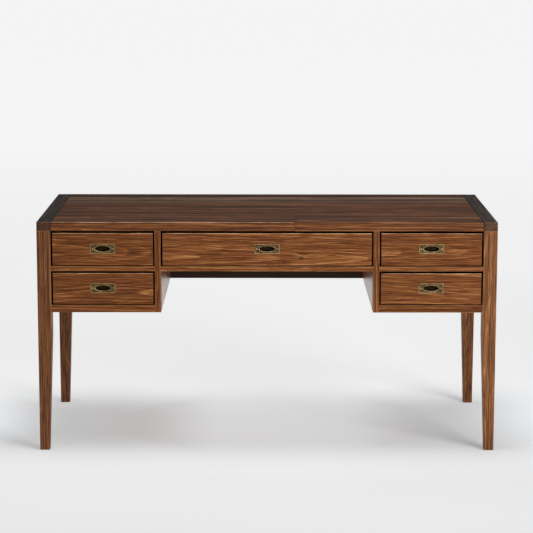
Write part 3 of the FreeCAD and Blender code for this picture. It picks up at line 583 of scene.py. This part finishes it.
    # Waxed sheen, brushed fibre and the slow waves of a hand plane
    sheen = addNode(tree, "ShaderNodeMapRange",
                    {"To Min": look["rough"][0], "To Max": look["rough"][1]}, {"Value": fibre})
    tree.links.new(sheen.outputs[0], shader.inputs["Roughness"])
    relief = addNode(tree, "ShaderNodeMath",
                     {"operation": "MULTIPLY_ADD", 1: wear["lateRelief"]}, {0: lateWood, 2: pores})
    size, far = wear["planed"]
    planed = streaks(tree, board, size, 1)
    wavy = addNode(tree, "ShaderNodeBump", {"Strength": 1.0, "Distance": far * mm}, {"Height": planed})
    felt = addNode(tree, "ShaderNodeBump",
                   {"Strength": look["relief"], "Distance": wear["brushed"] * mm},
                   {"Height": relief, "Normal": wavy})
    tree.links.new(felt.outputs[0], shader.inputs["Normal"])
    return material


def dress(node, material):        # a CAD node keeps its shape and takes a material
    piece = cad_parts[node]
    piece.data.materials.clear()
    piece.data.materials.append(material)


def startBlock(name, low, high):        # a cube at its size and place, ready for edit mode
    bpy.ops.object.select_all(action="DESELECT")
    bpy.ops.mesh.primitive_cube_add(size=1, location=(low + high) / 2)
    piece = bpy.context.object
    piece.name = name
    piece.scale = high - low
    bpy.ops.object.transform_apply(location=True, rotation=True, scale=True)
    return piece


def choose(piece, kind, test):        # in edit mode, select only the vertices, edges or faces that pass
    bpy.ops.mesh.select_mode(type=kind)
    bpy.ops.mesh.select_all(action="DESELECT")
    shape = bmesh.from_edit_mesh(piece.data)
    for part in {"VERT": shape.verts, "EDGE": shape.edges, "FACE": shape.faces}[kind]:
        if test(part):
            part.select_set(True)
    shape.select_flush_mode()
    bmesh.update_edit_mesh(piece.data)


def runsAlong(axis):        # a test for edges along one axis
    def test(edge):
        start, end = edge.verts
        return abs((end.co - start.co).normalized()[axis]) > 0.99
    return test


def liesAt(level):        # a test for edges in one plane across Y
    return lambda edge: all(abs(point.co.y - level) < hair for point in edge.verts)


def facesFront(face):
    return face.normal.y < -0.9


def facesBack(face):
    return face.normal.y > 0.9


def makeActive(piece):
    bpy.ops.object.select_all(action="DESELECT")
    piece.select_set(True)
    bpy.context.view_layer.objects.active = piece


def combine(piece, other, operation):        # Boolean with another shape, which is used up
    makeActive(piece)
    modifier = piece.modifiers.new("combine", "BOOLEAN")
    modifier.operation = operation
    modifier.solver = "MANIFOLD"
    modifier.object = other
    bpy.ops.object.modifier_apply(modifier=modifier.name)
    bpy.data.objects.remove(other, do_unlink=True)


def wearDown(piece, group, depth, size):        # dents inwards only, so a piece keeps within its size
    makeActive(piece)
    dents = bpy.data.textures.new(f"{piece.name}_dents", "CLOUDS")
    dents.noise_scale = size * mm
    dents.noise_depth = 1
    modifier = piece.modifiers.new("wear", "DISPLACE")
    modifier.texture = dents
    modifier.texture_coords = "LOCAL"
    modifier.vertex_group = group
    modifier.mid_level = 1.0
    modifier.strength = depth * mm
    bpy.ops.object.modifier_apply(modifier=modifier.name)


# Table top: nine planks between dark end boards, each planed by hand to its own height.
# The front plank is made of two lengths that butt right of the middle.
topBoards = {
    "planks": 9,
    "butt": 91 * mm,        # joint of the front plank, right of the middle
    "arris": 1.1,
    "frontArris": 1.8,
    "endArris": 1.6,
    "sharp": 50,        # degrees between faces from which an edge gets an arris
    "smooth": 40,
    "tones": (-0.14, -0.03, -0.03, -0.08, -0.05, 0.0, -0.03, 0.02, -0.22),        # from the front to the rear
    "lighter": 0.11,        # right length of the front plank
    "sheenPaintedPlanks": (6, 7),        # planks painted paler and greyer on top: painted sheen of low light from behind
    "endTones": {"left": 0.03, "right": 0.15},
    "step": 0.8 * mm,        # most that a plank lies below its neighbours
    "stepSeed": 7,
    "plankSeed": 200,
    "endSeed": 240,
    "cell": (24 * mm, 10 * mm),
    "endCells": 4,
    "wave": (0.3, 110),        # depth and size in millimetres
    "dents": (0.3, 18),
    "skin": 8 * mm,        # wear reaches this far down from the top
    "joint": 2 * mm,        # an end board stays plain this near to the planks and the case
}


def workBoard(piece, arris, cells, worked):        # cut into cells, ease the arrises, wear down, shade
    makeActive(piece)
    bpy.ops.object.mode_set(mode="EDIT")
    for axis in range(3):
        if cells[axis]:
            choose(piece, "EDGE", runsAlong(axis))
            bpy.ops.mesh.subdivide(number_cuts=cells[axis])
    bpy.ops.mesh.select_all(action="DESELECT")
    bpy.ops.mesh.edges_select_sharp(sharpness=math.radians(topBoards["sharp"]))
    bpy.ops.mesh.bevel(offset=arris * mm, segments=2, affect="EDGES")
    choose(piece, "VERT", worked)
    piece.vertex_groups.new(name="worked")
    bpy.ops.object.vertex_group_assign()
    bpy.ops.object.mode_set(mode="OBJECT")
    wearDown(piece, "worked", *topBoards["wave"])
    wearDown(piece, "worked", *topBoards["dents"])
    makeActive(piece)
    bpy.ops.object.shade_smooth_by_angle(angle=math.radians(topBoards["smooth"]))


def addPlanks():
    dice = random.Random(topBoards["stepSeed"])
    slabLow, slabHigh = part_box("top_planks")
    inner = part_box("end_board_right")[0].x
    last = topBoards["planks"] - 1
    pitch = (slabHigh.y - slabLow.y) / topBoards["planks"]
    exposed = (Vector((-1, slabLow.y, -1)), Vector((1, slabHigh.y, slabHigh.z)))
    for index in range(topBoards["planks"]):
        near = slabLow.y + pitch * index
        spans = [(-inner, inner)] if index else [(-inner, topBoards["butt"]), (topBoards["butt"], inner)]
        for part, (left, right) in enumerate(spans):
            label = f"{index + 1}{'ab'[part]}"
            low = Vector((left, near, slabLow.z))
            high = Vector((right, near + pitch, slabHigh.z))
            drop = 0.0 if index in (0, last) else dice.uniform(0, topBoards["step"])
            plank = startBlock(f"top_plank_{label}", low, high - Vector((0, 0, drop)))
            cells = (int((right - left) / topBoards["cell"][0]), int(pitch / topBoards["cell"][1]), 1)
            workBoard(plank, topBoards["arris" if index else "frontArris"], cells,
                      lambda point: point.co.z > slabHigh.z - topBoards["skin"])
            seams = (Vector((-inner, near - (0.1 if index == 0 else 0), -1)),        # none at the free edges
                     Vector((inner, near + pitch + (0.1 if index == last else 0), 1)))
            look = sheenPaintedLook if index in topBoards["sheenPaintedPlanks"] else topLook
            if index == 0:
                look = brushedLook if part else wornHighlitLook
            tone = topBoards["tones"][index] + part * topBoards["lighter"]
            seed = topBoards["plankSeed"] + index * 2 + part
            plank.data.materials.append(
                pine(f"top_pine_{label}", look, low, high, "X", seed, tone, exposed, seams, shaded=shadedOpenings))
            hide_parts("top_planks")
            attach(plank, "case")


def addEndBoards():
    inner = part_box("end_board_right")[0].x
    joint = topBoards["joint"]
    for side, name in ((-1, "left"), (1, "right")):
        low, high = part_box(f"end_board_{name}")
        board = startBlock(f"end_board_{name}_worn", low, high)
        edge = inner * side
        cells = (topBoards["endCells"], int((high.y - low.y) / topBoards["cell"][0]), 1)
        workBoard(board, topBoards["endArris"], cells,
                  lambda point: abs(point.co.x - edge) > joint and point.co.z > low.z + joint)
        outward = Vector((0.2, 0, 0))
        beyond = Vector((0, 1, 1))
        if side < 0:        # rubbed on the free edges, grimy along the planks
            exposed = (low, high + outward)
            seams = (low - outward - beyond, high + beyond)
        else:
            exposed = (low - outward, high)
            seams = (low - beyond, high + outward + beyond)
        board.data.materials.append(
            pine(f"dark_pine_end_board_{name}", endLook, low, high, "Y", topBoards["endSeed"] + side,
                 topBoards["endTones"][name], exposed, seams))
        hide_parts(f"end_board_{name}")
        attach(board, "case")


addPlanks()
addEndBoards()
print("top planks and end boards modelled")


# Aged brass, cast and hand rubbed: olive-brown patina on the field, rim and lip bright as rubbed brass and as
# painted highlight, nearly black down in the cup
brassLooks = {
    "field": {"colors": ("#3a2c1b", "#655034", "#856d4a"), "rough": (0.38, 0.55)},
    # rim and lip: rubbed brass, and painted highlight
    "rim": {"colors": ("#836a42", "#b99c6c", "#ddc89e"), "rough": (0.34, 0.48)},
    "cup": {"colors": ("#1a140d", "#2e2417", "#463724"), "rough": (0.5, 0.7)},
}
brassSkin = {
    "blotch": 9,        # millimetres
    "grit": 1.2,
    "gritDepth": 0.35,
    "levels": (0.45, 0.67, 0.92),
    "castDepth": 0.12,
}


def agedBrass(part):
    look = brassLooks[part]
    material, tree, shader = newMaterial(f"aged_brass_{part}")
    place = addNode(tree, "ShaderNodeTexCoord").outputs["Object"]
    blotch = addNode(tree, "ShaderNodeTexNoise",
                     {"Scale": 1 / (brassSkin["blotch"] * mm), "Detail": 4.0, "Roughness": 0.65},
                     {"Vector": place})
    grit = addNode(tree, "ShaderNodeTexNoise",
                   {"Scale": 1 / (brassSkin["grit"] * mm), "Detail": 2.0}, {"Vector": place})
    mixed = addNode(tree, "ShaderNodeMath",
                    {"operation": "MULTIPLY_ADD", 1: brassSkin["gritDepth"]}, {0: grit, 2: blotch})
    tint = addNode(tree, "ShaderNodeValToRGB",
                   {"stops": list(zip(brassSkin["levels"], look["colors"]))}, {"Fac": mixed})
    tree.links.new(tint.outputs["Color"], shader.inputs["Base Color"])
    sheen = addNode(tree, "ShaderNodeMapRange", {"To Min": look["rough"][1], "To Max": look["rough"][0]},
                    {"Value": blotch})
    tree.links.new(sheen.outputs[0], shader.inputs["Roughness"])
    cast = addNode(tree, "ShaderNodeBump", {"Strength": 0.5, "Distance": brassSkin["castDepth"] * mm},
                   {"Height": mixed})
    tree.links.new(cast.outputs[0], shader.inputs["Normal"])
    shader.inputs["Metallic"].default_value = 1.0
    return material


# Flush pull: cast plate with a raised rim, an oval finger cup with a rolled lip, two slotted screws
pull = {        # millimetres
    "corner": 1.2,
    "rim": (0.6, 1.2, 0.5),        # outer slope, crest, inner slope
    "rise": (0.8, 0.6),        # up the outer slope, down the inner one
    "rimDeep": 1.5,        # bright this far behind the crest
    "plateBack": 2.5,        # thickness of the plate
    "cup": (50.8, 17.8),
    "cupFront": 1.2,        # the cup's wall starts inside the plate
    "wall": 1.2,
    "lip": ((0.5, 0.2), (0.7, 0.6), (0.7, 0.8), (0.3, 0.8)),        # forward, outward, step by step
    "lipThrough": 0.03,        # the lip's cutter comes out of the field by this
    "lipClear": 2.0,        # and goes on this far before it
    "slack": 0.05,        # in telling rim and cup from the field
    "hollowRound": 1.8,
    "backRound": 2.2,
    "sinkRadius": 3.15,
    "sinkDepth": 0.6,
    "smooth": 35,        # degrees
}
screws = {        # millimetres
    "apart": 69.0,
    "behindRim": 0.15,
    "radius": 2.75,
    "head": 1.6,
    "headRound": 0.45,
    "shoulder": 1.3,        # from the head's edge to the shank
    "point": 2.0,
    "pointTaper": 0.25,        # of the shank's width
    "slotWidth": 0.8,
    "slotDepth": 0.7,
    "slotReach": 5.0,        # of its cutter, to each side
    "slotRise": 1.0,        # and before the head
    "turns": (12, 67, -34, 81, 25, -8, 49, -61, 3, 37),        # degrees of the ten screw slots
}


def addDrum(vertices, radius, front, back, middle):        # a cylinder along Y
    bpy.ops.object.select_all(action="DESELECT")
    bpy.ops.mesh.primitive_cylinder_add(vertices=vertices, radius=radius * mm, depth=back - front,
                                        location=(middle.x, (front + back) / 2, middle.z),
                                        rotation=(math.pi / 2, 0, 0))
    piece = bpy.context.object
    bpy.ops.object.transform_apply(location=True, rotation=True, scale=True)
    return piece


def addOval(size, front, back, middle):        # an oval drum, left in edit mode
    piece = addDrum(64, size[1] / 2, front, back, middle)
    bpy.ops.object.mode_set(mode="EDIT")
    bpy.ops.mesh.select_all(action="SELECT")
    bpy.ops.transform.resize(value=(size[0] / size[1], 1, 1), center_override=middle)
    return piece


def modelPull(node):
    low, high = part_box(node)
    middle = (low + high) / 2
    front, back = low.y, high.y
    plate = startBlock("pull_start", low, Vector((high.x, front + pull["plateBack"] * mm, high.z)))
    bpy.ops.object.mode_set(mode="EDIT")
    choose(plate, "FACE", facesFront)
    bpy.ops.transform.translate(value=(0, pull["rise"][0] * mm, 0))
    bpy.ops.mesh.inset(thickness=pull["rim"][0] * mm, use_even_offset=True)
    bpy.ops.transform.translate(value=(0, -pull["rise"][0] * mm, 0))
    bpy.ops.mesh.inset(thickness=pull["rim"][1] * mm, use_even_offset=True)
    bpy.ops.mesh.inset(thickness=pull["rim"][2] * mm, use_even_offset=True)
    bpy.ops.transform.translate(value=(0, pull["rise"][1] * mm, 0))
    choose(plate, "EDGE", runsAlong(1))
    bpy.ops.mesh.bevel(offset=pull["corner"] * mm, segments=3, affect="EDGES")
    bpy.ops.object.mode_set(mode="OBJECT")
    field = front + pull["rise"][1] * mm

    # The cup behind the plate, then one cutter for its hollow and rolled lip
    outer = [part + 2 * pull["wall"] for part in pull["cup"]]
    shell = addOval(outer, front + pull["cupFront"] * mm, back, middle)
    choose(shell, "EDGE", liesAt(back))
    bpy.ops.mesh.bevel(offset=pull["backRound"] * mm, segments=4, affect="EDGES")
    bpy.ops.object.mode_set(mode="OBJECT")
    combine(plate, shell, "UNION")
    reach = sum(step[0] for step in pull["lip"]) * mm
    bottom = back - pull["wall"] * mm
    hollow = addOval(pull["cup"], field + reach - pull["lipThrough"] * mm, bottom, middle)
    choose(hollow, "EDGE", liesAt(bottom))
    bpy.ops.mesh.bevel(offset=pull["hollowRound"] * mm, segments=4, affect="EDGES")
    choose(hollow, "FACE", facesFront)
    size = list(pull["cup"])
    for forward, outward in pull["lip"] + ((pull["lipClear"], 0.0),):
        wider = [part + 2 * outward for part in size]
        bpy.ops.mesh.extrude_region_move(TRANSFORM_OT_translate={"value": (0, -forward * mm, 0)})
        bpy.ops.transform.resize(value=(wider[0] / size[0], 1, wider[1] / size[1]), center_override=middle)
        size = wider
    bpy.ops.object.mode_set(mode="OBJECT")
    combine(plate, hollow, "DIFFERENCE")
    sink = pull["sinkDepth"] * mm
    for side in (-1, 1):
        spot = middle + Vector((side * screws["apart"] / 2 * mm, 0, 0))
        combine(plate, addDrum(32, pull["sinkRadius"], field - sink, field + sink, spot), "DIFFERENCE")

    # Clean the mesh, then give rim, field and cup their own finish by place
    plate.data.materials.clear()
    for part in ("field", "rim", "cup"):
        plate.data.materials.append(brass[part])
    bpy.ops.object.mode_set(mode="EDIT")
    bpy.ops.mesh.select_all(action="SELECT")
    bpy.ops.mesh.remove_doubles(threshold=hair / 2)
    bpy.ops.mesh.normals_make_consistent(inside=False)
    lipWidth = sum(step[1] for step in pull["lip"])
    mouth = [part + 2 * lipWidth for part in pull["cup"]]
    slack = pull["slack"] * mm

    def inMouth(point):        # within the oval's half size and a little more
        return math.hypot((point.x - middle.x) / mouth[0], (point.z - middle.z) / mouth[1]) < 0.502 * mm

    def onRim(face):
        spot = face.calc_center_median()
        margin = min(spot.x - low.x, high.x - spot.x, spot.z - low.z, high.z - spot.z)
        crest = margin < sum(pull["rim"]) * mm + slack and spot.y < front + pull["rimDeep"] * mm
        lip = all(inMouth(point.co) for point in face.verts) and spot.y < field + reach
        return crest or lip

    def inCup(face):
        return face.calc_center_median().y > field + reach - slack

    for slot, test in ((1, onRim), (2, inCup)):
        choose(plate, "FACE", test)
        plate.active_material_index = slot
        bpy.ops.object.material_slot_assign()
    bpy.ops.object.mode_set(mode="OBJECT")
    bpy.ops.object.shade_smooth_by_angle(angle=math.radians(pull["smooth"]))
    flatten = plate.modifiers.new("flatten", "WEIGHTED_NORMAL")        # keeps the field flat beside the lip
    flatten.keep_sharp = True
    bpy.ops.object.modifier_apply(modifier=flatten.name)
    return plate


def modelScrew(node, pullNode):
    low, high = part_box(node)
    place = (low + high) / 2 - Vector((screws["apart"] / 2 * mm, 0, 0))
    place.y = 0
    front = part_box(pullNode)[0].y + screws["behindRim"] * mm
    seat = front + screws["head"] * mm
    screw = addDrum(32, screws["radius"], front, seat, place)
    bpy.ops.object.mode_set(mode="EDIT")
    choose(screw, "EDGE", liesAt(front))
    bpy.ops.mesh.bevel(offset=screws["headRound"] * mm, segments=3, affect="EDGES")
    choose(screw, "FACE", facesBack)
    bpy.ops.mesh.inset(thickness=screws["shoulder"] * mm)
    point = screws["point"] * mm
    bpy.ops.mesh.extrude_region_move(TRANSFORM_OT_translate={"value": (0, high.y - seat - point, 0)})
    bpy.ops.mesh.extrude_region_move(TRANSFORM_OT_translate={"value": (0, point, 0)})
    taper = screws["pointTaper"]
    bpy.ops.transform.resize(value=(taper, 1, taper), center_override=(place.x, high.y, place.z))
    bpy.ops.object.mode_set(mode="OBJECT")
    across, half = screws["slotReach"] * mm, screws["slotWidth"] / 2 * mm
    slotLow = Vector((place.x - across, front - screws["slotRise"] * mm, place.z - half))
    slotHigh = Vector((place.x + across, front + screws["slotDepth"] * mm, place.z + half))
    combine(screw, startBlock("screw_slot", slotLow, slotHigh), "DIFFERENCE")
    screw.data.materials.clear()
    screw.data.materials.append(brass["rim"])
    bpy.ops.object.mode_set(mode="EDIT")
    bpy.ops.mesh.select_all(action="SELECT")
    bpy.ops.mesh.normals_make_consistent(inside=False)
    bpy.ops.object.mode_set(mode="OBJECT")
    bpy.ops.object.shade_smooth_by_angle(angle=math.radians(pull["smooth"]))
    return screw, place


def copyPiece(piece, name, shift):
    makeActive(piece)
    bpy.ops.object.duplicate()
    copied = bpy.context.object
    copied.name = name
    bpy.ops.transform.translate(value=shift)
    bpy.ops.object.transform_apply(location=True, rotation=True, scale=True)
    return copied


def addPulls():
    first = drawers[0]
    plate = modelPull(f"{first}_pull")
    screw, home = modelScrew(f"{first}_pull_screws", f"{first}_pull")
    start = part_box(f"{first}_pull")[0]
    turns = iter(screws["turns"])
    for drawer in drawers:
        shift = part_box(f"{drawer}_pull")[0] - start
        copied = copyPiece(plate, f"{drawer}_flush_pull", shift)
        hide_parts(f"{drawer}_pull")
        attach(copied, drawer)
        for side, offset in (("left", 0), ("right", screws["apart"] * mm)):
            there = shift + Vector((offset, 0, 0))
            fastener = copyPiece(screw, f"{drawer}_pull_screw_{side}", there)
            bpy.ops.transform.rotate(value=math.radians(next(turns)), orient_axis="Y",
                                     center_override=home + there)
            bpy.ops.object.transform_apply(location=True, rotation=True, scale=True)
            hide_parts(f"{drawer}_pull_screws")
            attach(fastener, drawer)
    bpy.data.objects.remove(plate, do_unlink=True)
    bpy.data.objects.remove(screw, do_unlink=True)


brass = {part: agedBrass(part) for part in brassLooks}
addPulls()
print("pulls and screws modelled")


# Front frame, panels and carcase boards: CAD shapes, each cut from its own plank
caseBoards = {        # way of the grain, and tone
    "stile_left": ("Z", -0.03), "stile_right": ("Z", -0.05),
    "rail_left": ("X", 0.03), "rail_right": ("X", 0.04), "rail_center": ("X", 0.04),
    "sill_left": ("X", -0.07), "sill_right": ("X", -0.08),
    "side_panel_left": ("Y", 0.0), "side_panel_right": ("Y", 0.0),
    "knee_panel_left": ("Y", 0.0), "knee_panel_right": ("Y", 0.0),
    "back_panel": ("X", -0.05), "pedestal_bottom_left": ("Y", -0.05), "pedestal_bottom_right": ("Y", -0.05),
    "leg_front_left": ("Z", -0.18), "leg_front_right": ("Z", -0.03),
    "leg_rear_left": ("Z", -0.2), "leg_rear_right": ("Z", -0.18),
    "bank_runners": ("Y", 0.0), "center_runners": ("Y", 0.0),
    "drawer_stops": ("Y", 0.0), "top_cleats": ("X", 0.0),
}
bareBoards = ("bank_runners", "center_runners", "drawer_stops", "top_cleats")
caseLooks = {"knee": kneeLook, "leg": legLook, "back": backLook}
nailMarks = {        # place, and size in millimetres
    "leg_front_right": [((0.722, frontPlane, 0.654), 2.2), ((0.7225, frontPlane, 0.628), 2.0)],
}
for seed, (node, (grain, tone)) in enumerate(caseBoards.items(), start=100):
    low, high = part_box(node)
    look = bareLook if node in bareBoards else caseLooks.get(node.split("_")[0], frameLook)
    # painted shade round the drawer openings, and on the back panel's inner face
    dress(node, pine(f"stained_pine_{node}", look, low, high, grain, seed, tone,
                     shaded=shadeOnBackFace if node == "back_panel" else shadedOpenings,
                     marks=nailMarks.get(node, ())))

# Drawers: stained fronts, bare boxes
drawerFronts = {        # seed of the grain, and tone
    "left_upper_drawer": (10, -0.07), "left_lower_drawer": (11, -0.07), "center_drawer": (14, 0.03),
    "right_upper_drawer": (29, -0.02), "right_lower_drawer": (18, -0.01),
}
boxGrain = {"side_left": "Y", "side_right": "Y", "back": "X", "bottom": "X"}
for drawer, (seed, tone) in drawerFronts.items():
    low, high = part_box(f"{drawer}_front")
    wearAndHighlight = (Vector((-1, low.y, -1)), high + Vector((1, 1, 0)))        # the upper front arris is painted pale: worn wood and painted highlight
    # the gap faces of each front get painted shade
    dress(f"{drawer}_front", pine(f"stained_pine_{drawer}", drawerLook, low, high, "X", seed, tone,
                                  wearAndHighlight, shaded=shadeBehindFront))
    for part, grain in boxGrain.items():
        low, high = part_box(f"{drawer}_{part}")
        dress(f"{drawer}_{part}", pine(f"bare_pine_{drawer}_{part}", bareLook, low, high, grain,
                                       seed * 10 + len(part)))
print("case and drawers dressed")
